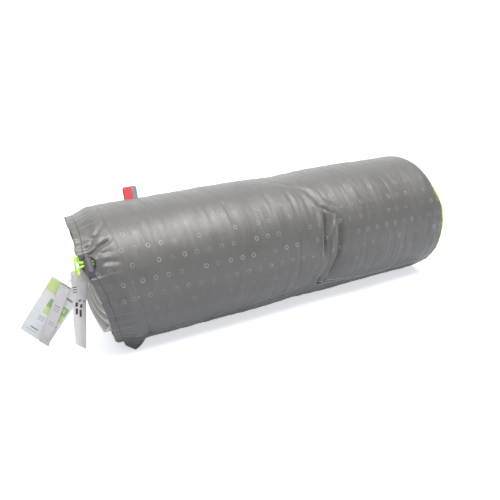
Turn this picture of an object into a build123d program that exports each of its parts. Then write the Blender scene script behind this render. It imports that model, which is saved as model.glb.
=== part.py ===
"""A self-inflating sleeping mat, rolled up in its drawstring stuff sack and lying on its side.

Frame: X runs along the roll, with the sack's mouth at -X and its base at +X. +Z is up. The origin is the
middle of the flat that the sack rests on. Sizes are in millimetres.
"""

from build123d import *
import os
from math import ceil, cos, degrees, pi, radians, sin, sqrt, tan

os.makedirs("parts", exist_ok=True)

# ---- driving dimensions -------------------------------------------------------------------------

fabric = 0.6                # sack cloth, as one closed solid
sack_radius = 86.0
sack_height = 82.5          # height of the sack's axis; the circle below the floor is flattened off
base_x = 239.5              # end of the sack's tube
base_depth = 13.0           # how far the base panel bulges out

seam_angle_low = -40.0      # seams, as an angle up from the front (-Y) side
seam_angle_high = 115.0

mouth_slope_y = 0.25        # the mouth is cut on a slant: x = start + slope_y * y + slope_z * (z - 81)
mouth_slope_z = -0.31
slant_height = 81.0
rim_x = -275.0
collar_x = -231.0           # the seam between the tube and its gathered collar
hem_width = 12.0            # along X
hem_outer = 80.3
hem_inner = 76.5
hem_height = 80.3           # height of the mouth's axis, and of the roll's
cord_radius = 1.4

mat_start = -262.0          # the roll's two ends
mat_end = 236.0
mat_thickness = 10.2        # rolled, with the air let out
mat_pitch = 10.5            # from one turn to the next
mat_outer = 72.5            # radius of the last half turn
half_turns = 12
skin = 0.5
weld_width = 10.0
mat_tail_angle = 115.0      # where the mat's outer end lies, from +Y towards +Z
band_inner = 75.3
band_outer = 76.1
band_width = 12.0

exit_angle = 35.0           # the drawcord's exit in the hem, up from the front side
exit_x = -296.0
lock_x = -305.0
lock_r = 86.4               # distance of the cord lock's cord slot from the mouth's axis
strand = 1.75               # half the distance between the two strands in the lock

# ---- planes and places --------------------------------------------------------------------------

slant = sqrt(1 + mouth_slope_y**2 + mouth_slope_z**2)
slant_normal = Vector(1, -mouth_slope_y, -mouth_slope_z)
slant_across = Vector(0, mouth_slope_z, -mouth_slope_y)
slant_along = slant_across.cross(slant_normal).normalized()


def slanted(start, height=slant_height):
    """The mouth's slanted plane that crosses X at start, with its origin on an axis at this height."""
    x = start + mouth_slope_z * (height - slant_height)
    return Plane(origin=(x, 0, height), x_dir=slant_along, z_dir=slant_normal)


def mouth_point(x, down, out):
    """A point beside the drawcord's exit: down along the hem, and out from the mouth's axis."""
    a = radians(exit_angle)
    y = -cos(a) * out - sin(a) * down
    z = hem_height + sin(a) * out - cos(a) * down
    return Vector(x, y, z)


exit_down = mouth_point(0, 1, 0) - mouth_point(0, 0, 0)
exit_out = mouth_point(0, 0, 1) - mouth_point(0, 0, 0)


def wedge(start, end):
    """Corner points of a wide wedge of the YZ plane about the sack's axis, angles from +Y towards +Z."""
    steps = ceil((end - start) / 60)
    reach = 4 * sack_radius
    points = [(0, sack_height)]
    for i in range(steps + 1):
        a = radians(start + (end - start) * i / steps)
        points.append((reach * cos(a), sack_height + reach * sin(a)))
    return points


def save(solid, label):
    solid.part.label = label
    export_step(solid.part, "parts/" + label + ".step")


# ---- sack: two long panels, the collar, the base ------------------------------------------------


def sack_panel(start, end):
    """A long panel of the tube between two angles, cut off on the slant at the collar's seam."""
    with BuildPart() as panel:
        with BuildSketch(Plane.YZ.offset(-sack_radius * 3)):
            with Locations((0, sack_height)):
                Circle(sack_radius)
            with Locations((0, -sack_radius)):
                Rectangle(4 * sack_radius, 2 * sack_radius, mode=Mode.SUBTRACT)
            offset(amount=-fabric, mode=Mode.SUBTRACT)
            Polygon(*wedge(start, end), align=None, mode=Mode.INTERSECT)
        extrude(amount=base_x + sack_radius * 3)
        split(bisect_by=slanted(collar_x), keep=Keep.TOP)
    return panel


sack_front_panel = sack_panel(180 - seam_angle_high, 180 - seam_angle_low)
save(sack_front_panel, "sack_front_panel")

sack_rear_panel = sack_panel(180 - seam_angle_low, 540 - seam_angle_high)
save(sack_rear_panel, "sack_rear_panel")


def seam_binding(angle, start):
    """The bound seam allowance that stands a little proud of the tube along one seam."""
    width = 5.0
    lift = 0.3
    height = 0.9
    a = radians(angle)
    out = Vector(0, -cos(a), sin(a))
    middle = Vector(start, 0, sack_height) + out * (sack_radius + lift + height / 2)
    with BuildPart() as binding:
        with BuildSketch(Plane(origin=middle, x_dir=out, z_dir=(1, 0, 0))):
            RectangleRounded(height, width, height * 0.45)
        extrude(amount=base_x - 3 - start)
    return binding


lower_seam = seam_binding(seam_angle_low, -226.0)
save(lower_seam, "lower_seam")

upper_seam = seam_binding(seam_angle_high, -244.0)
save(upper_seam, "upper_seam")


# The collar's section shrinks from the tube's to the hem's, then it is cut on the slant at both ends.
collar_sections = (
    (-180.0, sack_radius, sack_height),
    (-215.0, sack_radius, sack_height),
    (-330.0, hem_outer - 0.7, hem_height - 0.9),
)

with BuildPart() as mouth_collar:
    for shrink, mode in ((0, Mode.ADD), (fabric, Mode.SUBTRACT)):
        for x, radius, height in collar_sections:
            with BuildSketch(Plane.YZ.offset(x)):
                with Locations((0, height)):
                    Circle(radius)
                with Locations((0, -sack_radius)):
                    Rectangle(4 * sack_radius, 2 * sack_radius, mode=Mode.SUBTRACT)
                offset(amount=-shrink, mode=Mode.REPLACE)
        loft(ruled=True, mode=mode)
    split(bisect_by=slanted(collar_x), keep=Keep.BOTTOM)
    split(bisect_by=slanted(rim_x + hem_width), keep=Keep.TOP)
save(mouth_collar, "mouth_collar")

with BuildPart() as hem_cavity:
    cavity_wall = 0.4
    cavity_end = 1.5
    with BuildSketch(Plane.YZ.offset(-400)):
        with Locations((0, hem_height)):
            Circle(hem_outer - cavity_wall)
            Circle(hem_inner + cavity_wall, mode=Mode.SUBTRACT)
    extrude(amount=250)
    split(bisect_by=slanted(rim_x + cavity_end), keep=Keep.TOP)
    split(bisect_by=slanted(rim_x + hem_width - cavity_end), keep=Keep.BOTTOM)

with BuildPart() as hem_channel:
    with BuildSketch(Plane.YZ.offset(-400)):
        with Locations((0, hem_height)):
            Circle(hem_outer)
            Circle(hem_inner, mode=Mode.SUBTRACT)
    extrude(amount=250)
    split(bisect_by=slanted(rim_x), keep=Keep.TOP)
    split(bisect_by=slanted(rim_x + hem_width), keep=Keep.BOTTOM)
    add(hem_cavity.part, mode=Mode.SUBTRACT)
    exit_hole = Plane(origin=mouth_point(exit_x, 0, hem_outer + 1), x_dir=exit_down, z_dir=exit_out)
    with BuildSketch(exit_hole):
        SlotOverall(4 * strand + 1, 2 * cord_radius + 1)
    extrude(amount=-2.5, mode=Mode.SUBTRACT)
save(hem_channel, "hem_channel")

piping_radius = 1.4
piping_ring = sack_height - piping_radius - 0.2
with BuildPart() as base_piping:
    with BuildSketch(Plane.XZ):
        with Locations((base_x + piping_radius + 0.1, sack_height + piping_ring)):
            Circle(piping_radius)
    revolve(axis=Axis((0, 0, sack_height), (1, 0, 0)))
save(base_piping, "base_piping")

panel_x = base_x + 2 * piping_radius + 0.2
panel_radius = sack_height - 0.3
panel_corner = 9.0


def dome_profile(shrink):
    """The outline of half the base's bulging shape, in the current line."""
    top = sack_height + panel_radius - shrink
    shoulder = (panel_x + panel_corner - shrink, top - panel_corner)
    crown = (panel_x + base_depth - shrink, sack_height)
    Polyline(crown, (panel_x, sack_height), (panel_x, top))
    TangentArc((panel_x, top), shoulder, tangent=(1, -0.1))
    TangentArc(crown, shoulder, tangent=(0, 1))


with BuildPart() as base_panel:
    for shrink, mode in ((0, Mode.ADD), (1.0, Mode.SUBTRACT)):
        with BuildSketch(Plane.XZ):
            with BuildLine():
                dome_profile(shrink)
            make_face()
        revolve(axis=Axis((0, 0, sack_height), (1, 0, 0)), mode=mode)
save(base_panel, "base_panel")

with BuildPart() as loop_label:
    label_width = 18.5
    label_height = 16.0
    label_thickness = 1.4
    a = radians(seam_angle_high)
    out = Vector(0, -cos(a), sin(a))
    foot = Vector(-199.0, 0, sack_height) + out * (sack_radius + 1.3)
    with BuildSketch(Plane(origin=foot + out * label_height / 2, x_dir=out, z_dir=(1, 0, 0))):
        Rectangle(label_height, label_thickness)
    extrude(amount=label_width / 2, both=True)
    fillet(loop_label.edges().filter_by(Axis.X).sort_by(Axis.Z)[-2:], label_thickness * 0.45)
save(loop_label, "loop_label")

# ---- drawcord and its lock ----------------------------------------------------------------------

with BuildPart() as drawcord_in_hem:
    cord_plane = slanted(rim_x + 7, hem_height)
    cord_ring = (hem_outer + hem_inner) / 2
    with BuildLine(cord_plane) as cord_line:
        EllipticalCenterArc((0, 0), cord_ring * slant, cord_ring, 0, arc_size=360)
    with BuildSketch(Plane(origin=cord_line.line @ 0, z_dir=cord_line.line % 0)):
        Circle(cord_radius)
    sweep(path=cord_line.line)
save(drawcord_in_hem, "drawcord_in_hem")

# The free loop: out of the hem, through the lock, down and round, and back beside itself.
loop_route = [
    mouth_point(exit_x, -strand, hem_outer - 0.35),
    mouth_point(exit_x, -strand, lock_r),
    mouth_point(-323.5, -strand, lock_r),
    Vector(-327.3, -70.1, 122.5),
    Vector(-327.8, -70.4, 116.3),
    Vector(-323.6, -70.8, 112.4),
    Vector(-319.4, -71.2, 116.0),
    Vector(-318.6, -71.6, 121.5),
    mouth_point(-318.3, strand, lock_r),
    mouth_point(exit_x, strand, lock_r),
    mouth_point(exit_x, strand, hem_outer - 0.35),
]


def corner_radii(route):
    """The largest arc that each corner's two runs allow, with a little left straight between arcs."""
    radii = []
    for before, point, after in zip(route, route[1:], route[2:]):
        turn = radians((point - before).get_angle(after - point))
        shorter = min((point - before).length, (after - point).length)
        radii.append(0.45 * shorter / tan(turn / 2))
    return radii


loop_radii = corner_radii(loop_route)
print("drawcord loop radii", [round(r, 1) for r in loop_radii])

with BuildPart() as drawcord_loop:
    with BuildLine() as loop_line:
        FilletPolyline(*loop_route, radius=loop_radii)
    with BuildSketch(Plane(origin=loop_line.line @ 0, z_dir=loop_line.line % 0)):
        Circle(cord_radius)
    sweep(path=loop_line.line)
loop_length = loop_line.wire().length
print("drawcord loop length", round(loop_length, 1), "volume", round(drawcord_loop.part.volume, 1),
      "section x length", round(pi * cord_radius**2 * loop_length, 1))
save(drawcord_loop, "drawcord_loop")

barrel_radius = 5.25
bore_radius = 3.9
barrel_top = -4.6           # along the lock's own axis, down the hem
barrel_bottom = 11.5
barrel_floor = 10.3
button_radius = 3.7
button_top = -10.0
button_bottom = 5.0
button_travel = 3.5
slot_height = 3.7           # half the slot that the two strands pass through
slot_width = 3.4


def lock_plane(down):
    """A plane across the lock's axis, with its X along the roll."""
    return Plane(origin=mouth_point(lock_x, down, lock_r), x_dir=(1, 0, 0), z_dir=exit_down)


lock_side = Plane(origin=mouth_point(lock_x, 0, lock_r), x_dir=exit_down, z_dir=(1, 0, 0))

with BuildPart() as cord_lock_barrel:
    with BuildSketch(lock_plane(barrel_top)):
        Circle(barrel_radius)
    extrude(amount=barrel_bottom - barrel_top)
    fillet(cord_lock_barrel.edges().filter_by(GeomType.CIRCLE), 1.0)
    with BuildSketch(lock_plane(barrel_top)):
        Circle(bore_radius)
    extrude(amount=barrel_floor - barrel_top, mode=Mode.SUBTRACT)
    with BuildSketch(lock_side):
        Rectangle(2 * slot_height, slot_width)
    extrude(amount=2 * barrel_radius, both=True, mode=Mode.SUBTRACT)
save(cord_lock_barrel, "cord_lock_barrel")

with BuildPart() as cord_lock_button:
    with BuildSketch(lock_plane(button_top)):
        Circle(button_radius)
    extrude(amount=button_bottom - button_top)
    fillet(cord_lock_button.edges().filter_by(GeomType.CIRCLE).sort_by(Axis.Z)[-1], 1.2)
    with BuildSketch(lock_side):
        with Locations((-button_travel / 2, 0)):
            Rectangle(2 * slot_height + button_travel, slot_width)
    extrude(amount=2 * barrel_radius, both=True, mode=Mode.SUBTRACT)
save(cord_lock_button, "cord_lock_button")

with BuildPart() as cord_lock_spring:
    wire = 0.35
    spring_start = mouth_point(lock_x, button_bottom + wire + 0.1, lock_r)
    coil_height = barrel_floor - button_bottom - 2 * wire - 0.2
    with BuildLine() as coil:
        Helix(pitch=coil_height / 3, height=coil_height, radius=2.7, center=spring_start, direction=exit_down)
    with BuildSketch(Plane(origin=coil.line @ 0, z_dir=coil.line % 0)):
        Circle(wire)
    sweep(path=coil.line, is_frenet=True)
save(cord_lock_spring, "cord_lock_spring")

# ---- labels and hang tag, on the mat's corner ---------------------------------------------------

label_y = -60.0
ribbon = 0.5
tab_top = 121.0
label_left = -322.0
label_right = -304.0
label_hole = 2.3
swing_point = Vector(-318.6, label_y, 115.0)

with BuildPart() as care_label_long:
    with BuildSketch(Plane.XZ.offset(-label_y)):
        with BuildLine():
            Polyline(
                (mat_start, tab_top),
                (label_left, tab_top),
                (label_left + 3, 30),
                (label_right + 3, 26),
                (label_right, tab_top - 17),
                (mat_start, tab_top - 17),
                close=True,
            )
        make_face()
        with Locations((swing_point.X, swing_point.Z)):
            Circle(label_hole, mode=Mode.SUBTRACT)
    extrude(amount=ribbon / 2, both=True)
save(care_label_long, "care_label_long")

# The tag leans from its loop down to the surface: along is its length, across its width.
tag_along = Vector(-29, 96, -118).normalized()
tag_across = Vector(-25.1, 19.9, 22.4).normalized()
tag_normal = tag_along.cross(tag_across).normalized()
tag_across = tag_normal.cross(tag_along)
tag_width = 39.0
tag_near = 19.5
tag_far = 133.0
tag_loop_radius = 12.0
tag_hole = 2 * tag_loop_radius

with BuildPart() as hang_tag:
    middle = swing_point + tag_along * (tag_near + tag_far) / 2
    with BuildSketch(Plane(origin=middle, x_dir=tag_along, z_dir=tag_normal)):
        RectangleRounded(tag_far - tag_near, tag_width, 2)
        with Locations((tag_hole - (tag_near + tag_far) / 2, 0)):
            Circle(2.0, mode=Mode.SUBTRACT)
    extrude(amount=0.3, both=True)
save(hang_tag, "hang_tag")

with BuildPart() as tag_loop:
    loop_centre = swing_point + tag_along * tag_loop_radius
    with BuildSketch(Plane(origin=swing_point, x_dir=tag_along, z_dir=tag_normal)):
        Circle(0.5)
    revolve(axis=Axis(loop_centre, tag_across))
save(tag_loop, "tag_loop")

short_width = 13.0
short_length = 108.0
short_lean = 8.0            # degrees that it leans from the tag's length, towards its lower edge
short_gap = 3.0
short_top = swing_point + tag_along * tag_hole - tag_normal * short_gap
short_along = tag_along.rotate(Axis((0, 0, 0), tag_normal), -short_lean)

with BuildPart() as care_label_short:
    middle = short_top + short_along * (short_length / 2 - 4)
    with BuildSketch(Plane(origin=middle, x_dir=short_along, z_dir=tag_normal)):
        Rectangle(short_length, short_width)
        with Locations((4 - short_length / 2, 0)):
            Circle(1.8, mode=Mode.SUBTRACT)
    extrude(amount=ribbon / 2, both=True)
save(care_label_short, "care_label_short")

# ---- the mat: a spiral of foam between two skins -------------------------------------------------


def spiral(low, high):
    """A band of the rolled mat in the current sketch, between two heights through its thickness.

    Heights run from 0 at the inner face to mat_thickness at the outer one. Each half turn is an arc, and
    the centres alternate so that the arcs join smoothly.
    """
    ends = {}
    edges = []
    for height in (low, high):
        for k in range(half_turns):
            radius = mat_outer - mat_pitch / 2 * (half_turns - 1 - k) - mat_thickness + height
            side = 1 if (half_turns - 1 - k) % 2 == 0 else -1
            centre = (side * mat_pitch / 4, 0)
            start = 180 if side > 0 else 0
            edges.append(CenterArc(centre, radius, start, 180))
        ends[height] = (edges[-half_turns] @ 0, edges[-1] @ 1)
    Line(ends[low][0], ends[high][0])
    Line(ends[low][1], ends[high][1])


def mat_layer(low, high, start, end):
    """One layer of the rolled mat along a stretch of the roll."""
    tail = radians(mat_tail_angle)
    turned = Vector(0, cos(tail), sin(tail))
    with BuildPart() as layer:
        with BuildSketch(Plane(origin=(start, 0, hem_height), x_dir=turned, z_dir=(1, 0, 0))):
            with BuildLine():
                spiral(low, high)
            make_face()
        extrude(amount=end - start)
    return layer


foam_start = mat_start + weld_width
foam_end = mat_end - weld_width

mat_bottom_skin = mat_layer(mat_thickness - skin, mat_thickness, mat_start, mat_end)
save(mat_bottom_skin, "mat_bottom_skin")

mat_top_skin = mat_layer(0, skin, mat_start, mat_end)
save(mat_top_skin, "mat_top_skin")

foam_core = mat_layer(skin, mat_thickness - skin, foam_start, foam_end)
save(foam_core, "foam_core")

mat_weld_mouth_side = mat_layer(skin, mat_thickness - skin, mat_start, foam_start)
save(mat_weld_mouth_side, "mat_weld_mouth_side")

mat_weld_base_side = mat_layer(skin, mat_thickness - skin, foam_end, mat_end)
save(mat_weld_base_side, "mat_weld_base_side")


def retaining_band(start):
    with BuildPart() as band:
        with BuildSketch(Plane.YZ.offset(start)):
            with Locations((0, hem_height)):
                Circle(band_outer)
                Circle(band_inner, mode=Mode.SUBTRACT)
        extrude(amount=band_width)
    return band


retaining_band_mouth = retaining_band(-170.0)
save(retaining_band_mouth, "retaining_band_mouth")

retaining_band_base = retaining_band(130.0)
save(retaining_band_base, "retaining_band_base")

# ---- the mat's valve -----------------------------------------------------------------------------

valve_angle = 88.0          # up from the front side
valve_ring = 65.0           # distance of its axis from the roll's
a = radians(valve_angle)
valve_centre = Vector(mat_start, -cos(a) * valve_ring, hem_height + sin(a) * valve_ring)
valve_tube = 6.5
valve_bore = 4.0
valve_length = 12.0
cap_radius = 9.0
cap_gap = 0.3


def valve_plane(out):
    """A plane across the valve's axis, at a distance out from the roll's end."""
    return Plane(origin=valve_centre - Vector(out, 0, 0), x_dir=(0, 1, 0), z_dir=(-1, 0, 0))


with BuildPart() as valve_body:
    flange = 2.0
    with BuildSketch(valve_plane(0)):
        SlotOverall(30, 2 * valve_tube + 4)
    extrude(amount=flange)
    with BuildSketch(valve_plane(flange)):
        Circle(valve_tube)
    extrude(amount=valve_length - flange)
    with BuildSketch(valve_plane(0)):
        Circle(valve_bore)
    extrude(amount=valve_length, mode=Mode.SUBTRACT)
save(valve_body, "valve_body")

seal_thickness = 1.5
with BuildPart() as valve_seal:
    with BuildSketch(valve_plane(valve_length + 0.05)):
        Circle(valve_tube - 0.3)
    extrude(amount=seal_thickness)
save(valve_seal, "valve_seal")

with BuildPart() as valve_cap:
    skirt_start = flange + 1.5
    roof_inside = valve_length + seal_thickness + 0.1
    roof = 2.0
    grips = 16
    with BuildSketch(valve_plane(skirt_start)):
        Circle(cap_radius)
        with PolarLocations(cap_radius + 0.35, grips):
            Circle(0.9, mode=Mode.SUBTRACT)
    extrude(amount=roof_inside + roof - skirt_start)
    with BuildSketch(valve_plane(skirt_start)):
        Circle(valve_tube + cap_gap)
    extrude(amount=roof_inside - skirt_start, mode=Mode.SUBTRACT)
save(valve_cap, "valve_cap")
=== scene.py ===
"""A rolled sleeping mat in its stuff sack: cloth, cord, labels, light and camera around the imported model.

Lengths are in metres, with mm for the small ones. An angle a, in degrees, goes round the roll from its
front (-Y) side upwards, so 90 is the top and 270 the bottom.
"""

from math import cos, pi, radians, sin

import bpy
import numpy as np
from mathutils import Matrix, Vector


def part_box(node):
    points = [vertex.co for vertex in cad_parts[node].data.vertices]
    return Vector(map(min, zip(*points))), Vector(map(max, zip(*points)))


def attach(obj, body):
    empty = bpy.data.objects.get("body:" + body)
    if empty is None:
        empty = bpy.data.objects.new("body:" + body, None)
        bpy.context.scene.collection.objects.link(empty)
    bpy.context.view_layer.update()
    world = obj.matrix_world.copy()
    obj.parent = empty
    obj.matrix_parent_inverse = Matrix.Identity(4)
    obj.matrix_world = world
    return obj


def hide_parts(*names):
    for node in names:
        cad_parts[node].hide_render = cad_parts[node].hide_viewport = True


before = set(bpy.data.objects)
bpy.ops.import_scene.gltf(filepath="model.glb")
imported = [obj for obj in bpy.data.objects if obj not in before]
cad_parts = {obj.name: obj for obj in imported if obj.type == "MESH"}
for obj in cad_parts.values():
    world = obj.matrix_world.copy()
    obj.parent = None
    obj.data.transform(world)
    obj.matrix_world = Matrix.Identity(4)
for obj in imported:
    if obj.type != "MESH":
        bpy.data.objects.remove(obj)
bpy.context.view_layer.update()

# ---- sizes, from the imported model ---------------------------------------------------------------

mm = 0.001

sack_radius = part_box("sack_rear_panel")[1].y
sack_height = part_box("sack_front_panel")[1].z - sack_radius
base_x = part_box("sack_rear_panel")[1].x
hem_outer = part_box("hem_channel")[1].y
hem_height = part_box("hem_channel")[1].z - hem_outer
panel_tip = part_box("base_panel")[1].x
mat_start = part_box("mat_bottom_skin")[0].x
mat_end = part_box("mat_bottom_skin")[1].x

seam_high = 115.0
cloth = 0.3 * mm

# The mouth is cut on a slant: x = start + slope_y * y + slope_z * (z - slant_height).
slope_y = 0.25
slope_z = -0.31
slant_height = 81 * mm
collar_x = -231 * mm
rim_x = -275 * mm
low_seam_start = -225 * mm
high_seam_start = -246 * mm
hem_width = 12 * mm
base_turn = 23 * mm
tuck = 2 * mm                # how far one cloth runs under the next at a seam
proud = 0.12 * mm            # how far the upper one of the two stands out
hem_depth = 3.8 * mm
exit_angle = 35.0


def mouth_x(start, y, z):
    return start + slope_y * y + slope_z * (z - slant_height)


def mouth_point(x, down, out):
    """A point beside the drawcord's exit: down along the hem, and out from the mouth's axis."""
    a = radians(exit_angle)
    y = -cos(a) * out - sin(a) * down
    z = hem_height + sin(a) * out - cos(a) * down
    return Vector((x, y, z))


# ---- camera, light and floor --------------------------------------------------------------------


def make_camera():
    camera = bpy.data.cameras.new("camera")
    camera.lens = 57.6
    camera.sensor_width = 36
    thing = bpy.data.objects.new("camera", camera)
    thing.location = (-0.6189, -0.8531, 0.4363)
    thing.rotation_euler = (radians(90 - 19.43), 0, radians(-34.07))
    bpy.context.collection.objects.link(thing)
    bpy.context.scene.camera = thing


def node(tree, kind, inputs=None, **settings):
    """A new node. An input's value is a number, a colour or a socket to link from."""
    made = tree.nodes.new(kind)
    for name, value in settings.items():
        setattr(made, name, value)
    for name, value in (inputs or {}).items():
        if isinstance(value, bpy.types.NodeSocket):
            tree.links.new(value, made.inputs[name])
        else:
            made.inputs[name].default_value = value
    return made


def make_world():
    """A studio's surroundings: bright above and behind, dim towards the room, and white to the camera."""
    world = bpy.data.worlds.new("studio")
    bpy.context.scene.world = world
    world.use_nodes = True
    tree = world.node_tree
    tree.nodes.clear()
    way = node(tree, "ShaderNodeTexCoord").outputs["Generated"]
    split = node(tree, "ShaderNodeSeparateXYZ", {0: way})
    ramp = node(tree, "ShaderNodeValToRGB", {"Fac": split.outputs["Z"]})
    stops = ((0.0, 0.02), (0.25, 0.03), (0.6, 0.20), (1.0, 0.72))
    while len(ramp.color_ramp.elements) < len(stops):
        ramp.color_ramp.elements.new(0.5)
    for stop, (place, grey) in zip(ramp.color_ramp.elements, stops):
        stop.position = place
        stop.color = (grey, grey, grey * 0.98, 1)
    back = node(tree, "ShaderNodeMapRange", {"Value": split.outputs["Y"], 1: 0.1, 2: 0.8, 3: 0.0, 4: 1.5})
    both = {"Fac": 1.0, 1: ramp.outputs[0], 2: back.outputs[0]}
    lit = node(tree, "ShaderNodeMixRGB", both, blend_type="ADD")
    room = node(tree, "ShaderNodeBackground", {"Color": lit.outputs[0], "Strength": 1.0})
    white = node(tree, "ShaderNodeBackground", {"Color": (1, 1, 1, 1), "Strength": 1.1})
    seen = node(tree, "ShaderNodeLightPath").outputs["Is Camera Ray"]
    mix = node(tree, "ShaderNodeMixShader", {0: seen, 1: room.outputs[0], 2: white.outputs[0]})
    node(tree, "ShaderNodeOutputWorld", {"Surface": mix.outputs[0]})


def make_light(name, location, target, size, power, colour):
    light = bpy.data.lights.new(name, "AREA")
    light.shape = "RECTANGLE"
    light.size, light.size_y = size
    light.energy = power
    light.color = colour
    thing = bpy.data.objects.new(name, light)
    thing.location = location
    aim = Vector(target) - Vector(location)
    thing.rotation_euler = aim.to_track_quat("-Z", "Y").to_euler()
    bpy.context.collection.objects.link(thing)


def make_floor():
    half = 20.0
    drop = 0.4 * mm
    points = [(-half, -half, -drop), (half, -half, -drop), (half, half, -drop), (-half, half, -drop)]
    mesh = bpy.data.meshes.new("floor")
    mesh.from_pydata(points, [], [(0, 1, 2, 3)])
    floor = bpy.data.objects.new("floor", mesh)
    bpy.context.collection.objects.link(floor)
    material = bpy.data.materials.new("floor_paper")
    material.use_nodes = True
    tree = material.node_tree
    shader = tree.nodes["Principled BSDF"].inputs
    shader["Base Color"].default_value = (0.56, 0.58, 0.64, 1)
    shader["Roughness"].default_value = 0.7
    shader["Specular IOR Level"].default_value = 0.2
    shader["Emission Color"].default_value = (0.95, 0.97, 1.0, 1)
    seen = node(tree, "ShaderNodeLightPath").outputs["Is Camera Ray"]
    white = node(tree, "ShaderNodeMath", {0: seen, 1: 0.50, 2: 0.19}, operation="MULTIPLY_ADD").outputs[0]
    tree.links.new(white, shader["Emission Strength"])
    mesh.materials.append(material)


make_camera()
make_world()
make_light("softbox_above", (0.15, -0.64, 2.0), (0, 0, 0.1), (2.2, 1.0), 75, (1.0, 0.985, 0.95))
make_light("softbox_front", (-0.7, -1.5, 1.7), (0, 0, 0.1), (1.4, 0.7), 2, (1.0, 0.99, 0.97))
make_floor()
bpy.context.scene.view_settings.view_transform = "Standard"

# ---- the drawcord's free loop -------------------------------------------------------------------

cord_thick = 2.8 * mm
strand = 1.75 * mm
lock_r = 86.4 * mm
exit_x = -296 * mm

loop_route = [
    mouth_point(exit_x, -strand, hem_outer - 0.35 * mm),
    mouth_point(exit_x, -strand, lock_r),
    mouth_point(-316.0 * mm, -strand, lock_r),
    Vector((-316.5, -70.5, 139.5)) * mm,
    Vector((-320.5, -74.0, 143.0)) * mm,
    Vector((-322.5, -78.5, 134.5)) * mm,
    Vector((-321.5, -78.0, 124.0)) * mm,
    Vector((-317.5, -74.0, 119.5)) * mm,
    Vector((-316.5, -71.6, 124.5)) * mm,
    mouth_point(-315.5 * mm, strand, lock_r),
    mouth_point(exit_x, strand, lock_r),
    mouth_point(exit_x, strand, hem_outer - 0.35 * mm),
]


def make_cord(name, route, thickness):
    """A round cord along a smooth curve with the route's points as its control points."""
    curve = bpy.data.curves.new(name, "CURVE")
    curve.dimensions = "3D"
    curve.bevel_depth = 1.0
    curve.bevel_resolution = 5
    curve.resolution_u = 10
    curve.use_fill_caps = True
    line = curve.splines.new("NURBS")
    line.points.add(len(route) - 1)
    for point, place in zip(line.points, route):
        point.co = (*place, 1)
        point.radius = thickness / 2
    line.order_u = 3
    line.use_endpoint_u = True
    cord = bpy.data.objects.new(name, curve)
    bpy.context.collection.objects.link(cord)
    return cord


cord_loop = make_cord("cord_loop", loop_route, cord_thick)
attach(cord_loop, "sack")
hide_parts("drawcord_loop")

# ---- noise and mesh tools -----------------------------------------------------------------------


def lattice(i, j, k, seed):
    """A repeatable scattered number from 0 to 1 for each whole-number place."""
    n = i.astype(np.uint32) * np.uint32(374761393)
    n = n + j.astype(np.uint32) * np.uint32(668265263)
    n = n + k.astype(np.uint32) * np.uint32(2246822519)
    n = n + np.uint32(seed * 974634777 % 2**32)
    n = (n ^ (n >> np.uint32(13))) * np.uint32(1274126177)
    n = (n ^ (n >> np.uint32(16))) * np.uint32(2654435761)
    return (n ^ (n >> np.uint32(15))) / 2**32


def noise(x, y, z, seed):
    """Smooth noise from -1 to 1, with features about one unit across."""
    x, y, z = np.broadcast_arrays(x, y, z)
    cells = [np.floor(v).astype(np.int64) for v in (x, y, z)]
    parts = [v - c for v, c in zip((x, y, z), cells)]
    fx, fy, fz = [t * t * (3 - 2 * t) for t in parts]
    total = 0
    for corner in range(8):
        dx, dy, dz = corner & 1, corner >> 1 & 1, corner >> 2
        weight = (fx if dx else 1 - fx) * (fy if dy else 1 - fy) * (fz if dz else 1 - fz)
        total = total + weight * lattice(cells[0] + dx, cells[1] + dy, cells[2] + dz, seed)
    return total * 2 - 1


def step(low, high, value):
    """0 below low, 1 above high, and smooth between."""
    t = np.clip((value - low) / (high - low), 0, 1)
    return t * t * (3 - 2 * t)


def bell(value, width):
    return np.exp(-((value / width) ** 2))


def above_floor(z):
    """Heights that flatten softly where the cloth meets the floor."""
    soft = 1.6 * mm
    return (z + np.sqrt(z * z + soft * soft)) / 2


def around(a, radius, height):
    """The Y and Z of points at an angle round an axis."""
    turn = np.radians(a)
    return -np.cos(turn) * radius, height + np.sin(turn) * radius


def grid_faces(rows, columns, round_rows=False, round_columns=False, used=None):
    """The quads of a grid of points, that may close on itself, or leave out cells that aren't used."""
    i, j = np.meshgrid(
        np.arange(rows if round_rows else rows - 1),
        np.arange(columns if round_columns else columns - 1),
        indexing="ij",
    )
    next_i, next_j = (i + 1) % rows, (j + 1) % columns
    row, next_row = i * columns, next_i * columns
    quads = np.stack([row + j, row + next_j, next_row + next_j, next_row + j], -1)
    return quads[used] if used is not None else quads.reshape(-1, 4)


def normals_of(points, faces):
    across = np.cross(points[faces[:, 2]] - points[faces[:, 0]], points[faces[:, 3]] - points[faces[:, 1]])
    total = np.zeros_like(points)
    for corner in range(4):
        np.add.at(total, faces[:, corner], across)
    return total / np.maximum(np.linalg.norm(total, axis=1, keepdims=True), 1e-12)


def make_mesh(name, points, faces, flat, materials, paint=None, wrap=None):
    """A smooth mesh object. flat holds each point's place on the flat cloth, as its UV in metres."""
    mesh = bpy.data.meshes.new(name)
    mesh.from_pydata(points.tolist(), [], faces.tolist())
    corners = flat[faces]
    if wrap:
        behind = corners[:, :, 1] < corners[:, :, 1].max(axis=1, keepdims=True) - wrap / 2
        corners[:, :, 1] += behind * wrap
    mesh.uv_layers.new(name="cloth").data.foreach_set("uv", corners.reshape(-1).astype(np.float32))
    mesh.polygons.foreach_set("use_smooth", np.ones(len(faces), dtype=bool))
    for material in materials:
        mesh.materials.append(material)
    if paint is not None:
        mesh.polygons.foreach_set("material_index", paint.astype(np.int32))
    mesh.update()
    made = bpy.data.objects.new(name, mesh)
    bpy.context.collection.objects.link(made)
    return made


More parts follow.
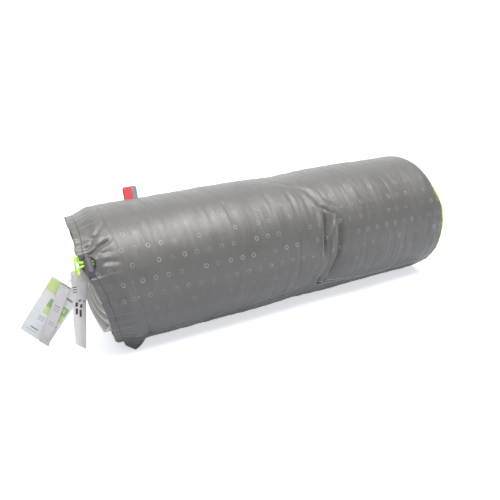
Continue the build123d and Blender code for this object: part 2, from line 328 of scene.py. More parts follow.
def make_sheet(name, points, faces, thickness, flat, materials, paint=None, wrap=None):
    """A closed cloth: an outer skin, an inner one just inside it, and the edges that join the two."""
    points = points.reshape(-1, 3)
    flat = flat.reshape(-1, 2)
    kept, faces = np.unique(faces, return_inverse=True)
    points, flat, faces = points[kept], flat[kept], faces.reshape(-1, 4)
    count = len(points)
    inner = points - normals_of(points, faces) * thickness
    starts = faces.reshape(-1)
    ends = np.roll(faces, -1, axis=1).reshape(-1)
    edge = ~np.isin(starts * count + ends, ends * count + starts)
    owner = np.repeat(np.arange(len(faces)), 4)[edge]
    starts, ends = starts[edge], ends[edge]
    sides = np.stack([ends, starts, starts + count, ends + count], -1)
    every = np.concatenate([faces, faces[:, ::-1] + count, sides])
    if paint is not None:
        paint = np.concatenate([paint, paint, paint[owner]])
    both = np.concatenate([points, inner])
    return make_mesh(name, both, every, np.concatenate([flat, flat]), materials, paint, wrap)


def place(piece, body, slot, *replaced):
    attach(piece, body)
    if replaced:
        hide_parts(*replaced)


# ---- materials ----------------------------------------------------------------------------------


def maths(tree, operation, *values):
    return node(tree, "ShaderNodeMath", dict(enumerate(values)), operation=operation).outputs[0]


def vectors(tree, operation, *values):
    return node(tree, "ShaderNodeVectorMath", dict(enumerate(values)), operation=operation).outputs[0]


def sum_of(tree, *parts):
    total = parts[0]
    for part in parts[1:]:
        total = maths(tree, "ADD", total, part)
    return total


def times(tree, value, factor):
    return maths(tree, "MULTIPLY", value, factor)


def stretched(tree, where, scale):
    return vectors(tree, "MULTIPLY", where, scale)


def speckle(tree, where, scale, detail=2.0):
    """Noise from 0 to 1, with scale given as repeats a metre along each direction."""
    parts = {"Vector": stretched(tree, where, scale), "Scale": 1.0, "Detail": detail}
    return node(tree, "ShaderNodeTexNoise", parts).outputs["Fac"]


def waves(tree, where, scale, direction="X", distortion=0.0):
    parts = {"Vector": where, "Scale": scale, "Distortion": distortion}
    return node(tree, "ShaderNodeTexWave", parts, bands_direction=direction).outputs["Fac"]


def weave(tree, where, pitch):
    """The over and under of a plain weave, from 0 to 1."""
    fine = stretched(tree, where, (2 * pi / pitch, 2 * pi / pitch, 0))
    split = node(tree, "ShaderNodeSeparateXYZ", {0: fine}).outputs
    crossed = times(tree, maths(tree, "SINE", split["X"]), maths(tree, "SINE", split["Y"]))
    return maths(tree, "MULTIPLY_ADD", crossed, 0.5, 0.5)


def blend(tree, share, first, second):
    return node(tree, "ShaderNodeMixRGB", {"Fac": share, 1: first, 2: second}).outputs[0]


def ranged(tree, value, low, high, out_low, out_high):
    parts = {"Value": value, 1: low, 2: high, 3: out_low, 4: out_high}
    return node(tree, "ShaderNodeMapRange", parts).outputs[0]


def shade(colour, factor):
    return (*[min(c * factor, 1.0) for c in colour], 1)


def start_material(name, where="UV", **sockets):
    """A Principled material with fixed values in its sockets, its tree and the coordinates it uses."""
    material = bpy.data.materials.new(name)
    material.use_nodes = True
    tree = material.node_tree
    for socket, value in sockets.items():
        tree.nodes["Principled BSDF"].inputs[socket.replace("_", " ")].default_value = value
    if where == "UV":
        return material, tree, node(tree, "ShaderNodeUVMap", uv_map="cloth").outputs["UV"]
    return material, tree, node(tree, "ShaderNodeTexCoord").outputs["Object"]


def dress(material, colour, rough, height, depth, strength=0.6):
    """Links a material's colour, its roughness if that varies, and its relief."""
    tree = material.node_tree
    inputs = tree.nodes["Principled BSDF"].inputs
    tree.links.new(colour, inputs["Base Color"])
    if rough is not None:
        tree.links.new(rough, inputs["Roughness"])
    bump = node(tree, "ShaderNodeBump", {"Height": height, "Distance": depth, "Strength": strength})
    tree.links.new(bump.outputs[0], inputs["Normal"])
    return material


def ring_print(tree, at):
    """Small rings on two crossed grids, from 0 to 1."""
    across, along, size, line = 17 * mm, 38 * mm, 2.4 * mm, 0.42 * mm
    found = None
    for shift in (0.0, 0.5):
        moved = vectors(tree, "ADD", stretched(tree, at, (1 / across, 1 / along, 0)), (shift, shift, 0))
        centred = vectors(tree, "ADD", vectors(tree, "FRACTION", moved), (-0.5, -0.5, 0))
        real = stretched(tree, centred, (across, along, 0))
        length = node(tree, "ShaderNodeVectorMath", {0: real}, operation="LENGTH").outputs["Value"]
        gap = maths(tree, "ABSOLUTE", maths(tree, "SUBTRACT", length, size))
        ring = ranged(tree, gap, line * 0.6, line * 1.3, 1.0, 0.0)
        found = ring if found is None else sum_of(tree, found, ring)
    return found


def print_patches_and_painted_light(tree, at):
    """How much of the rings' print shows: in patches, and little of it away from the front of the roll,
    which is painted light: the print is kept where it would catch the light.
    """
    patches = ranged(tree, speckle(tree, at, (38, 38, 0)), 0.42, 0.64, 0.05, 0.65)
    round_cloth = node(tree, "ShaderNodeSeparateXYZ", {0: at}).outputs["Y"]
    # Painted light: the print fades with distance from the band over the roll's front, where it catches the
    # light.
    from_painted_light_band = maths(tree, "ABSOLUTE", maths(tree, "SUBTRACT", round_cloth, 34 * mm))
    return times(tree, patches, ranged(tree, from_painted_light_band, 30 * mm, 62 * mm, 1.0, 0.25))


def satin_cloth(name, colour, roughness=0.42, rings=False, pitch=0.55 * mm):
    """Woven synthetic cloth with a soft shine, slubs, faint stains and small wrinkles."""
    sockets = {"Sheen_Weight": 0.25, "Sheen_Roughness": 0.35, "Specular_IOR_Level": 0.55}
    material, tree, at = start_material(name, **sockets)
    mottled = speckle(tree, at, (28, 28, 0), 4)
    slub = speckle(tree, at, (1500, 70, 0))
    cloud = blend(tree, mottled, shade(colour, 0.86), shade(colour, 1.14))
    streaked = blend(tree, ranged(tree, slub, 0.35, 0.7, 0.0, 0.35), cloud, shade(colour, 1.35))
    threads = weave(tree, at, pitch)
    woven = blend(tree, times(tree, threads, 0.28), streaked, shade(colour, 0.6))
    rough = ranged(tree, mottled, 0.2, 0.8, roughness - 0.06, roughness + 0.08)
    if rings:
        # The ring print, in patches and faded away from the roll's front as painted light.
        printed = times(tree, ring_print(tree, at), print_patches_and_painted_light(tree, at))
        woven = blend(tree, printed, woven, (0.40, 0.40, 0.43, 1))
        rough = maths(tree, "SUBTRACT", rough, times(tree, printed, 0.15))
    crinkle = speckle(tree, at, (260, 40, 0), 3)
    height = sum_of(tree, times(tree, threads, 0.10), times(tree, slub, 0.15), crinkle)
    return dress(material, woven, rough, height, 0.5 * mm, 0.4)


def ribbon_cloth(name, colour):
    """A narrow satin ribbon or a thread, with fine cords across it and faint clouding."""
    material, tree, at = start_material(name, Sheen_Weight=0.3, Specular_IOR_Level=0.5)
    ribs = waves(tree, at, 520.0, "Y", 0.4)
    cloud = blend(tree, speckle(tree, at, (160, 90, 0), 3), shade(colour, 0.84), shade(colour, 1.08))
    ribbed = blend(tree, times(tree, ribs, 0.18), cloud, shade(colour, 0.6))
    rough = ranged(tree, ribs, 0, 1, 0.35, 0.50)
    return dress(material, ribbed, rough, sum_of(tree, ribs, weave(tree, at, 0.4 * mm)), 0.12 * mm)


def card_surface(name, colour):
    """Coated card or the ink on it: faint fibres and a little uneven ink."""
    material, tree, at = start_material(name, Specular_IOR_Level=0.45)
    fibre = speckle(tree, at, (900, 300, 0), 4)
    tint = blend(tree, speckle(tree, at, (60, 60, 0), 3), shade(colour, 0.9), shade(colour, 1.08))
    inked = blend(tree, times(tree, fibre, 0.15), tint, shade(colour, 0.7))
    return dress(material, inked, ranged(tree, fibre, 0.2, 0.8, 0.32, 0.50), fibre, 0.05 * mm)


def braided_cord(name, colour):
    """A round braid: two families of strands that cross, and a pale fleck along them."""
    material, tree, at = start_material(name, where="Object", Sheen_Weight=0.35)
    braid = times(tree, waves(tree, at, 190.0, "X", 1.0), waves(tree, at, 170.0, "Z", 1.0))
    body = blend(tree, speckle(tree, at, (900, 900, 900)), shade(colour, 0.8), shade(colour, 1.2))
    crossed = blend(tree, times(tree, braid, 0.45), body, shade(colour, 0.5))
    return dress(material, crossed, ranged(tree, braid, 0, 1, 0.5, 0.75), braid, 0.3 * mm, 0.8)


def moulded(name, colour, roughness=0.45, **sockets):
    """Moulded plastic or rubber: a fine spark-eroded grain, flow marks and light scuffs."""
    material, tree, at = start_material(name, where="Object", **sockets)
    grain = speckle(tree, at, (3500, 3500, 3500), 1)
    flow = speckle(tree, at, (120, 120, 120), 4)
    scuff = ranged(tree, speckle(tree, at, (700, 180, 700), 3), 0.6, 0.75, 0.0, 0.5)
    tone = blend(tree, flow, shade(colour, 0.85), shade(colour, 1.15))
    scuffed = blend(tree, times(tree, scuff, 0.35), tone, shade(colour, 1.8))
    rough = ranged(tree, scuff, 0, 0.5, roughness, roughness + 0.2)
    return dress(material, scuffed, rough, sum_of(tree, times(tree, grain, 0.6), flow), 0.06 * mm)


def open_foam(name, colour):
    """Foam with its cells cut open, its colour darker in the pits of the cells as painted shade."""
    material, tree, at = start_material(name, where="Object", Roughness=0.95)
    pores = node(tree, "ShaderNodeTexVoronoi", {"Vector": at, "Scale": 900.0}).outputs["Distance"]
    # Painted shade: darkest at the cells' pits, where the relief is lowest.
    tone = blend(tree, pores, shade(colour, 0.55), shade(colour, 1.05))
    return dress(material, tone, None, pores, 0.6 * mm, 1.0)


def drawn_steel(name):
    """Bright wire with fine drawing marks along it."""
    material, tree, at = start_material(name, where="Object", Metallic=1.0)
    drawn = speckle(tree, at, (2500, 2500, 600), 3)
    tone = blend(tree, drawn, (0.35, 0.35, 0.36, 1), (0.6, 0.6, 0.62, 1))
    return dress(material, tone, ranged(tree, drawn, 0.2, 0.8, 0.25, 0.45), drawn, 0.03 * mm)


def elastic_web(name, colour):
    """Woven elastic: strong cords along it and fine picks across, with painted shade darkening the grooves
    between the cords.
    """
    material, tree, at = start_material(name, Sheen_Weight=0.2, Roughness=0.8)
    cords = waves(tree, at, 210.0)
    picks = waves(tree, at, 330.0, "Y")
    tone = blend(tree, speckle(tree, at, (1200, 1200, 0)), shade(colour, 0.6), shade(colour, 1.6))
    # Painted shade: darker between the cords, where the relief is lowest.
    corded = blend(tree, times(tree, cords, 0.5), shade(colour, 0.4), tone)
    return dress(material, corded, None, sum_of(tree, cords, times(tree, picks, 0.4)), 0.4 * mm, 0.9)


sack_grey = (0.110, 0.109, 0.105)
grey_cloth = satin_cloth("sack_taffeta", sack_grey, roughness=0.39, rings=True)
grey_trim = satin_cloth("sack_trim", sack_grey, roughness=0.39)
lime_cloth = satin_cloth("lime_taffeta", (0.36, 0.52, 0.05), roughness=0.45)
pale_thread = ribbon_cloth("pale_thread", (0.62, 0.62, 0.68))
grey_thread = ribbon_cloth("grey_thread", (0.20, 0.20, 0.21))
lime_braid = braided_cord("lime_braid", (0.48, 0.85, 0.10))
dark_plastic = moulded("dark_plastic", (0.095, 0.090, 0.108), 0.42)
clear_plastic = moulded("clear_plastic", (0.82, 0.84, 0.84), 0.15, Transmission_Weight=0.7)
spring_wire = drawn_steel("spring_wire")
red_ribbon = ribbon_cloth("red_ribbon", (0.62, 0.035, 0.05))
red_tab_grey = ribbon_cloth("tab_grey", (0.22, 0.24, 0.27))
white_ribbon = ribbon_cloth("white_ribbon", (0.80, 0.76, 0.755))
mark_ink = card_surface("mark_ink", (0.03, 0.03, 0.035))
white_card = card_surface("white_card", (0.86, 0.87, 0.85))
green_ink = card_surface("green_ink", (0.36, 0.52, 0.28))
light_green_ink = card_surface("light_green_ink", (0.66, 0.82, 0.30))
grey_ink = card_surface("grey_ink", (0.35, 0.36, 0.36))
mat_under_cloth = satin_cloth("mat_under_cloth", (0.46, 0.46, 0.44), roughness=0.6, pitch=0.9 * mm)
mat_upper_cloth = satin_cloth("mat_upper_cloth", (0.17, 0.30, 0.07), roughness=0.62, pitch=0.9 * mm)
mat_edge_cloth = satin_cloth("mat_edge_cloth", (0.74, 0.74, 0.72), roughness=0.5, pitch=1.6 * mm)
mat_foam = open_foam("mat_foam", (0.80, 0.76, 0.60))
black_elastic = elastic_web("black_elastic", (0.05, 0.05, 0.052))
valve_plastic = moulded("valve_plastic", (0.05, 0.05, 0.052))
cap_plastic = moulded("cap_plastic", (0.36, 0.56, 0.06), 0.38)
seal_rubber = moulded("seal_rubber", (0.45, 0.45, 0.44), 0.7)

cord_loop.data.materials.append(lime_braid)
kept_nodes = {
    "drawcord_in_hem": lime_braid,
    "cord_lock_barrel": dark_plastic,
    "cord_lock_button": dark_plastic,
    "cord_lock_spring": spring_wire,
    "tag_loop": clear_plastic,
    "foam_core": mat_foam,
    "valve_body": valve_plastic,
    "valve_cap": cap_plastic,
    "valve_seal": seal_rubber,
}
for name, material in kept_nodes.items():
    for slot in bpy.data.objects[name].material_slots:
        slot.material = material

# ---- the sack's tube ----------------------------------------------------------------------------

# The pinch on the front: angles up, the crease's x in mm at each, its depth and half width in mm. A
# negative depth is a ridge.
creases = (
    ((0, 15, 34), (22, 23, 29), 7.6, 3.0),
    ((-30, -7, 8, 24), (36, 46, 48, 50), 5.8, 3.6),
    ((-37, -25, 2), (30, 39, 53), -3.4, 2.4),
    ((-4, 14, 27), (32, 34, 44), -3.2, 2.6),
    ((-36, -27), (23, 20), 4.6, 2.8),
    ((33, 42), (44, 26), 2.6, 3.4),
    ((38, 50), (50, 38), 1.4, 3.0),
    ((-22, 3, 20), (-20, -22, -20), 1.1, 2.0),
    ((38, 60, 78), (33, 20, -8), 1.2, 6.0),
)


def low_seam(x):
    """The lower seam's angle, which wanders where the cloth has slipped round the roll."""
    places = (-219, -185, -133, -72, -21, 35, 104, 207, 236)
    angles = (-45, -51, -44, -41, -36, -36, -43, -44, -47)
    return sum(np.interp(x / mm + shift, places, angles) for shift in (-16, -8, 0, 8, 16)) / 5


def high_seam(x):
    return seam_high + 0 * x


def low_seam_again(x):
    """The lower seam's angle a whole turn on."""
    return low_seam(x) + 360


def base_edge(a):
    """Where the tube ends, and its radius there: the cloth turns over the roll's end most at the top."""
    up = step(0.25, 0.75, np.sin(np.radians(a)))
    return base_x + 1.2 * mm + 6.0 * mm * up, sack_radius - 2.2 * mm - 11.5 * mm * up


def stand_off(x, a):
    """How far the cloth stands out from a plain tube: slack, creases, wrinkles and puckered seams."""
    c, s = np.cos(np.radians(a)), np.sin(np.radians(a))
    seen = 0.35 + 0.65 * step(-0.6, 0.8, np.cos(np.radians(a - 50)))
    off = seen * (-1.8 * bell(x - 8 * mm, 36 * mm) + 1.5 * bell(x - 112 * mm, 62 * mm))
    off = off + seen * 0.9 * bell(x + 105 * mm, 75 * mm)
    off = off + 1.1 * noise(x / 0.06, c * 1.5, s * 1.5, 1) + 0.45 * noise(x / 0.024, c * 2.6, s * 2.6, 2)
    patch = step(-0.5, 0.6, noise(x / 0.07, c * 1.4, s * 1.4, 3))
    off = off + (0.18 + 0.42 * patch) * noise(x / 0.0065, c * 2.0, s * 2.0, 4)
    off = off + 0.17 * noise(x / 0.0034, c * 3.2, s * 3.2, 5)
    for angles, places, depth, width in creases:
        middle = np.interp(a, angles, places) * mm
        inside = step(angles[0] - 9, angles[0] + 9, a) * step(-angles[-1] - 9, -angles[-1] + 9, -a)
        off = off - depth * inside * bell(x - middle, width * mm)
        if depth > 2:
            off = off + 0.35 * depth * inside * bell(x - middle + 2.4 * width * mm, 1.5 * width * mm)
    off = off - 4.2 * bell(x - 38 * mm, 15 * mm) * step(-42, -18, a) * step(-46, -14, -a)
    for seam, strength in ((low_seam, 1.0), (high_seam, 0.7), (low_seam_again, 1.0)):
        near = bell(a - seam(x), 9.0)
        off = off + strength * near * (0.75 * noise(x / 0.0085, 0.5, 0.5, 6) - 0.5)
    return off * mm


def seam_shows(a):
    """How deep the collar's seam is sunk: only on the lower front."""
    return step(25, -25, a) * step(-110, -80, a)


def tube_point(x, a):
    """A point of the tube's cloth, and how far round the flat cloth it is."""
    end, end_radius = base_edge(a)
    turned = np.clip((x - end + base_turn) / base_turn, 0, 1)
    pucker = 0.9 * mm * noise(a / 5.5, 3.3, 0.2, 7) + 0.6 * mm * noise(a / 2.3, 1.3, 0.7, 8)
    pucker = turned**1.5 * pucker
    radius = sack_radius - (sack_radius - end_radius) * turned**2.2 + stand_off(x, a) * (1 - 0.6 * turned)
    y, z = around(a, radius + pucker, sack_height)
    seam = x - mouth_x(collar_x, y, z)
    groove = 0.9 * mm * bell(seam, 1.6 * mm) * seam_shows(a)
    y, z = around(a, radius + pucker - groove, sack_height)
    return y, above_floor(z)


def make_panel(name, low, high, across, along, replaced):
    """A long panel between two seams, from the slanted collar seam to the base."""
    share = np.linspace(0, 1, across)[None, :]
    t = np.linspace(0, 1, along)[:, None]
    x = 0 * t
    for _ in range(3):
        a = low(x) + (high(x) - low(x)) * share
        y, z = around(a, sack_radius, sack_height)
        start = mouth_x(collar_x - tuck, y, np.maximum(z, 0))
        end = base_edge(a)[0] + 0.6 * mm * noise(a / 4.0, 0.4, 0.4, 9)
        x = start + (end - start) * t
    y, z = tube_point(x, a)
    points = np.stack([x, y, z], -1)
    flat = np.stack([x, np.radians(a) * sack_radius], -1)
    panel = make_sheet(name, points, grid_faces(along, across), cloth, flat, [grey_cloth])
    place(panel, "sack", "sack_cloth", replaced)


make_panel("front_cloth", low_seam, high_seam, 130, 360, "sack_front_panel")
make_panel("rear_cloth", high_seam, low_seam_again, 110, 220, "sack_rear_panel")

# ---- the gathered collar and its hem ------------------------------------------------------------


def gathers(a):
    """How far the drawn cloth stands out at the hem: pleats, deepest by the drawcord's exit."""
    turn = np.radians(a)
    broad = 0.5 * np.cos(13 * turn + 0.7) + 0.5 * np.cos(21 * turn + 2.1)
    fine = 0.6 * np.cos(47 * turn + 1.9) + 0.7 * noise(a / 1.7, 0.3, 0.4, 10)
    tall = np.clip(0.5 + 0.30 * broad + 0.32 * fine, 0, 1) ** 1.2
    side = 0.30 + 0.55 * step(78, 52, a) + 0.55 * bell(a - exit_angle, 22)
    return 2.0 * mm * tall * side


def rim_bulge(a):
    """How far the rim comes forward where the drawcord pulls on it."""
    return 7 * mm * bell(a - exit_angle - 5, 18)


def collar_folds(t, a):
    """Deep folds that run from the drawcord's exit over the collar."""
    total = 0
    for swing, depth, half_width in ((9, 2.8, 2.0), (-7, 1.0, 2.2), (24, 1.4, 2.6)):
        middle = exit_angle + 3 + swing * (1.25 - t)
        total = total + depth * mm * bell(a - middle, half_width)
    return total * step(0, 0.35, t) * step(1.0, 0.8, t)


def collar_fin(t, a):
    """The pointed fold under the mouth, that reaches down to the floor."""
    tall, middle, half_width = 12 * mm, -57, 10
    fin = tall * np.clip(1 - np.abs(a - middle) / half_width, 0, 1) ** 1.2
    return fin * np.clip(1 - np.abs(t - 0.72) / 0.5, 0, 1)


def cord_hood(x, a):
    """The lip of cloth that stands up round the drawcord's exit, just behind the cord lock."""
    behind_lock = step(exit_x - 4.6 * mm, exit_x - 1.2 * mm, x)
    return 8.4 * mm * behind_lock * bell(x - exit_x + 1 * mm, 9 * mm) * bell(a - exit_angle, 4.6)


def collar_point(t, a):
    """A point of the collar: t is 0 at its seam and 1 at the hem."""
    start = collar_x + (rim_x + hem_width - 1.5 * tuck - collar_x) * t - rim_bulge(a) * t
    radius = sack_radius + (hem_outer - sack_radius) * t**1.5
    height = sack_height + (hem_height - sack_height) * t
    pleats = gathers(a) * step(0, 1, t**0.8)
    slack = 1.2 * mm * bell(t - 0.4, 0.22) * step(0, 0.25, t) * (1 + noise(a / 17, 0.3, 0.8, 12))
    groove = 0.9 * mm * bell(t * 32, 1.6) * seam_shows(a)
    fixed = pleats + collar_fin(t, a) + slack - collar_folds(t, a) - groove + proud
    x, lift = start + 0 * a, 0
    for _ in range(3):
        y, z = around(a, radius + lift, height)
        x = mouth_x(start, y, np.maximum(z, 0))
        creased = 0.55 * mm * step(0.1, 0.6, t) * step(1.0, 0.8, t) * noise(x / 0.011, a / 2.1, 0.3, 11)
        lift = fixed + creased + cord_hood(x, a) + stand_off(x, a) * (1 - t) ** 1.3
    return x, y, z


mouth_steps = 640
mouth_angles = (-90 + np.arange(mouth_steps) * 360 / mouth_steps)[None, :]


def make_collar():
    a, rows = mouth_angles, 46
    t = np.linspace(0, 1, rows)[:, None]
    x, y, z = collar_point(t, a)
    points = np.stack([x, y, above_floor(z)], -1)[::-1]
    flat = np.stack([collar_x - t * 45 * mm + 0 * a, np.radians(a + 0 * t) * sack_radius], -1)[::-1]
    faces = grid_faces(rows, mouth_steps, round_columns=True)
    round_cloth = 2 * pi * sack_radius
    collar = make_sheet("collar_cloth", points, faces, cloth, flat, [grey_cloth], wrap=round_cloth)
    place(collar, "sack", "sack_cloth", "mouth_collar")


def hem_surface(a, turn):
    """A point on the hem's channel: turn goes round its section, 0 towards the tube and 90 outwards."""
    c, s = np.cos(np.radians(turn)), np.sin(np.radians(turn))
    along = np.sign(c) * np.abs(c) ** 0.5
    out = np.sign(s) * np.abs(s) ** 0.45
    crinkle = 0.35 * mm * noise(a / 1.1, along * 0.8, 0.4, 13) * step(0.45, 0.2, along)
    stitched = 0.25 * mm * bell(along - 0.25, 0.12)
    radius = hem_outer - hem_depth / 2 + out * hem_depth / 2
    radius = radius + np.maximum(out, 0) * (gathers(a) + crinkle - stitched)
    y, z = around(a, radius, hem_height)
    rim_wave = 1.0 * mm * noise(a / 2.2, 0.6, 0.6, 14) * step(0.2, -0.9, along)
    start = rim_x + hem_width / 2 + along * hem_width / 2 + rim_wave - rim_bulge(a)
    return mouth_x(start, y, np.maximum(z, 0)), y, z


def make_hem():
    a, sides = mouth_angles, 28
    turn = (np.arange(sides) * -360 / sides)[:, None]
    x, y, z = hem_surface(a, turn)
    points = np.stack([x, y, above_floor(z)], -1).reshape(-1, 3)
    flat = np.broadcast_arrays(np.radians(turn) * 5 * mm, np.radians(a) * hem_outer)
    flat = np.stack(flat, -1).reshape(-1, 2)
    faces = grid_faces(sides, mouth_steps, round_rows=True, round_columns=True)
    hem = make_mesh("hem_cloth", points, faces, flat, [grey_trim], wrap=2 * pi * hem_outer)
    place(hem, "sack", "sack_cloth", "hem_channel")


make_collar()
make_hem()

# ---- seams, stitches and piping -----------------------------------------------------------------


def length_along(path):
    """The distance to each point of a path from its start."""
    return np.concatenate([[0], np.cumsum(np.linalg.norm(np.diff(path, axis=0), axis=1))])


def tube_parts(path, radius, sides, closed=False, squash=(1.0, 1.0)):
    """The points, faces and flat places of a round tube along a path. Its radius may change along it."""
    count = len(path)
    ahead = np.roll(path, -1, axis=0) - np.roll(path, 1, axis=0)
    if not closed:
        ahead[0], ahead[-1] = path[1] - path[0], path[-1] - path[-2]
    ahead = ahead / np.linalg.norm(ahead, axis=1, keepdims=True)
    out = path - (path.mean(axis=0) if closed else np.array([path[:, 0].mean(), 0, sack_height]))
    out = out - (out * ahead).sum(axis=1, keepdims=True) * ahead
    out = out / np.linalg.norm(out, axis=1, keepdims=True)
    side = np.cross(ahead, out)
    turn = np.arange(sides)[:, None] * 2 * pi / sides
    radius = np.broadcast_to(radius, (count,))[:, None, None]
    ring = out[:, None] * np.cos(turn) * squash[0] + side[:, None] * np.sin(turn) * squash[1]
    points = (path[:, None] + radius * ring).reshape(-1, 3)
    flat = np.broadcast_arrays(turn[:, 0][None, :] * radius.mean(), length_along(path)[:, None])
    flat = np.stack(flat, -1).reshape(-1, 2)
    faces = grid_faces(count, sides, round_rows=closed, round_columns=True)
    if closed:
        return points, faces, flat
    points, flat = np.concatenate([points, path[[0, -1]]]), np.concatenate([flat, flat[[0, -1]]])
    corner = np.arange(0, sides, 2)
    first = np.stack([corner, corner + 1, (corner + 2) % sides, 0 * corner + count * sides], -1)
    last = first[:, ::-1] + (count - 1) * sides
    last[:, 0] = count * sides + 1
    return points, np.concatenate([faces, first[:, ::-1], last[:, ::-1]])[:, ::-1], flat


def make_tube(name, path, radius, sides, material, closed=False, squash=(1.0, 1.0)):
    return make_mesh(name, *tube_parts(path, radius, sides, closed, squash), [material])


def seam_path(seam, beside, start, end, spacing, lift):
    """Points along a seam on the tube, or a few degrees beside it, standing a little off the cloth."""
    x = np.arange(start, end, spacing)
    a = seam(x) + beside
    y, z = tube_point(x, a)
    out_y, out_z = around(a, lift, 0)
    calm = np.ones(5) / 5
    y[2:-2], z[2:-2] = np.convolve(y, calm, "valid"), np.convolve(z, calm, "valid")
    return np.stack([x, y + out_y, z + out_z], -1)


def make_stitches(name, line, long, gap, thick, material):
    """Short thread stitches along a line of points, each a rounded bead that dips at its ends."""
    along = length_along(line)
    dip = 0.15 * mm * (1 - np.sin(np.linspace(0, pi, 5)))[:, None]
    size = thick / 2 * np.array([0.55, 0.95, 1.0, 0.95, 0.55])
    points, faces, flat, count = [], [], [], 0
    for start in np.arange(gap, along[-1] - long, long + gap):
        at = np.linspace(start, start + long, 5)
        bead = np.stack([np.interp(at, along, line[:, k]) for k in range(3)], -1)
        out = (bead - (0, 0, sack_height)) * (0, 1, 1)
        out = out / np.linalg.norm(out, axis=1, keepdims=True)
        bead_points, bead_faces, bead_flat = tube_parts(bead - out * dip, size, 6)
        points.append(bead_points)
        faces.append(bead_faces + count)
        flat.append(bead_flat)
        count += len(bead_points)
    parts = [np.concatenate(part) for part in (points, faces, flat)]
    place(make_mesh(name, *parts, [material]), "sack", "sack_cloth")


def make_seams():
    end, spacing = base_x - 2 * mm, 1.5 * mm
    line = seam_path(low_seam, 0, low_seam_start, end, spacing, 0.05 * mm)
    thick = (0.55 + 0.15 * noise(line[:, 0] / 0.006, 0.5, 0.1, 16)) * mm
    binding = make_tube("lower_seam_binding", line, thick, 10, grey_trim, squash=(0.7, 1.6))
    place(binding, "sack", "sack_cloth", "lower_seam")
    line = seam_path(high_seam, 0, high_seam_start, end, 1.8 * mm, 0.3 * mm)
    thick = (0.9 + 0.2 * noise(line[:, 0] / 0.006, 0.5, 0.1, 17)) * mm
    binding = make_tube("upper_seam_binding", line, thick, 10, grey_trim, squash=(0.9, 1.8))
    place(binding, "sack", "sack_cloth", "upper_seam")
    line = seam_path(low_seam, 1.3, low_seam_start + 4 * mm, 14 * mm, spacing, 0.35 * mm)
    make_stitches("lower_seam_stitches", line, 2.6 * mm, 1.1 * mm, 0.6 * mm, pale_thread)
    for beside, name in ((1.7, "upper_edge_thread"), (-1.6, "lower_edge_thread")):
        line = seam_path(low_seam, beside, 16 * mm, end, spacing, 0.4 * mm)
        thick = (0.42 + 0.10 * np.sin(line[:, 0] * 2 * pi / (8 * mm))) * mm
        place(make_tube(name, line, thick, 8, pale_thread), "sack", "sack_cloth")


def make_piping():
    a = np.arange(0, 360, 1.0)
    end, radius = base_edge(a)
    thick = (1.25 + 0.3 * noise(a / 3.0, 0.2, 0.9, 18)) * mm
    end = end + 1.1 * mm + 0.5 * mm * noise(a / 5.5, 0.2, 0.4, 19)
    y, z = around(a, radius - 0.2 * mm + 0.6 * mm * noise(a / 5.5, 3.3, 0.2, 7), sack_height)
    path = np.stack([end, y, np.maximum(z, thick + 0.1 * mm)], -1)
    piping = make_tube("base_piping_cloth", path, thick, 12, lime_cloth, closed=True)
    place(piping, "sack", "lime_cloth", "base_piping")


def make_base():
    """The lime base: a round panel that the roll pushes out, gathered a little at its edge."""
    count = 110
    u, v = np.meshgrid(np.linspace(-1, 1, count), np.linspace(-1, 1, count), indexing="ij")
    right, up = u * np.sqrt(1 - v * v / 2), v * np.sqrt(1 - u * u / 2)
    q = np.minimum(np.hypot(right, up), 1)
    a = np.degrees(np.arctan2(up, right))
    edge_x, edge_radius = base_edge(a)
    edge_x = edge_x + 0.6 * mm + 0.5 * mm * noise(np.mod(a, 360) / 5.5, 0.2, 0.4, 19)
    swell = (1 - q**3.2) ** 0.75
    gather = q**5 * (1 - q**9) * (noise(a / 4.5, 0.8, 0.5, 20) + 0.6 * noise(a / 2.2, 0.8, 0.5, 21))
    crumple = noise(right * 3.5, up * 3.5, 0.5, 22) + 0.5 * noise(right * 8, up * 8, 0.5, 23)
    tip = panel_tip - 0.5 * mm
    x = edge_x + (tip - edge_x) * swell + (1.5 * gather + 0.8 * crumple * (1 - q**4)) * mm
    radius = (edge_radius - 0.3 * mm) * q
    y, z = -right / np.maximum(q, 1e-6) * radius, sack_height + up / np.maximum(q, 1e-6) * radius
    points = np.stack([x, y, np.maximum(z, 0.4 * mm + 0 * z)], -1)
    flat = np.stack([y, z], -1)
    base = make_sheet("base_cloth", points, grid_faces(count, count)[:, ::-1], cloth, flat, [lime_cloth])
    place(base, "sack", "lime_cloth", "base_panel")


make_seams()
make_piping()
make_base()


def make_hem_trim():
    """The row of stitches that closes the hem, and the worked eyelet where the drawcord comes out."""
    a = np.arange(-90, 270.5, 0.5)
    along, out = 0.25, 0.96 * hem_depth / 2
    radius = hem_outer - hem_depth / 2 + out + out / (hem_depth / 2) * gathers(a) + 0.1 * mm
    y, z = around(a, radius, hem_height)
    start = rim_x + hem_width / 2 + along * hem_width / 2 - rim_bulge(a)
    line = np.stack([mouth_x(start, y, np.maximum(z, 0)), y, np.maximum(z, 0.5 * mm)], -1)
    make_stitches("hem_stitches", line, 2.4 * mm, 1.2 * mm, 0.5 * mm, grey_thread)
    turn = np.linspace(0, 2 * pi, 40, endpoint=False)
    ring = [mouth_point(exit_x + 2.4 * mm * sin(t), 4.2 * mm * cos(t), hem_outer + 2.2 * mm) for t in turn]
    thick = (0.55 + 0.12 * np.sin(turn * 14)) * mm
    eyelet = make_tube("drawcord_eyelet", np.array(ring), thick, 8, grey_thread, closed=True)
    place(eyelet, "sack", "sack_cloth")


make_hem_trim()

# ---- the woven tab in the upper seam ------------------------------------------------------------


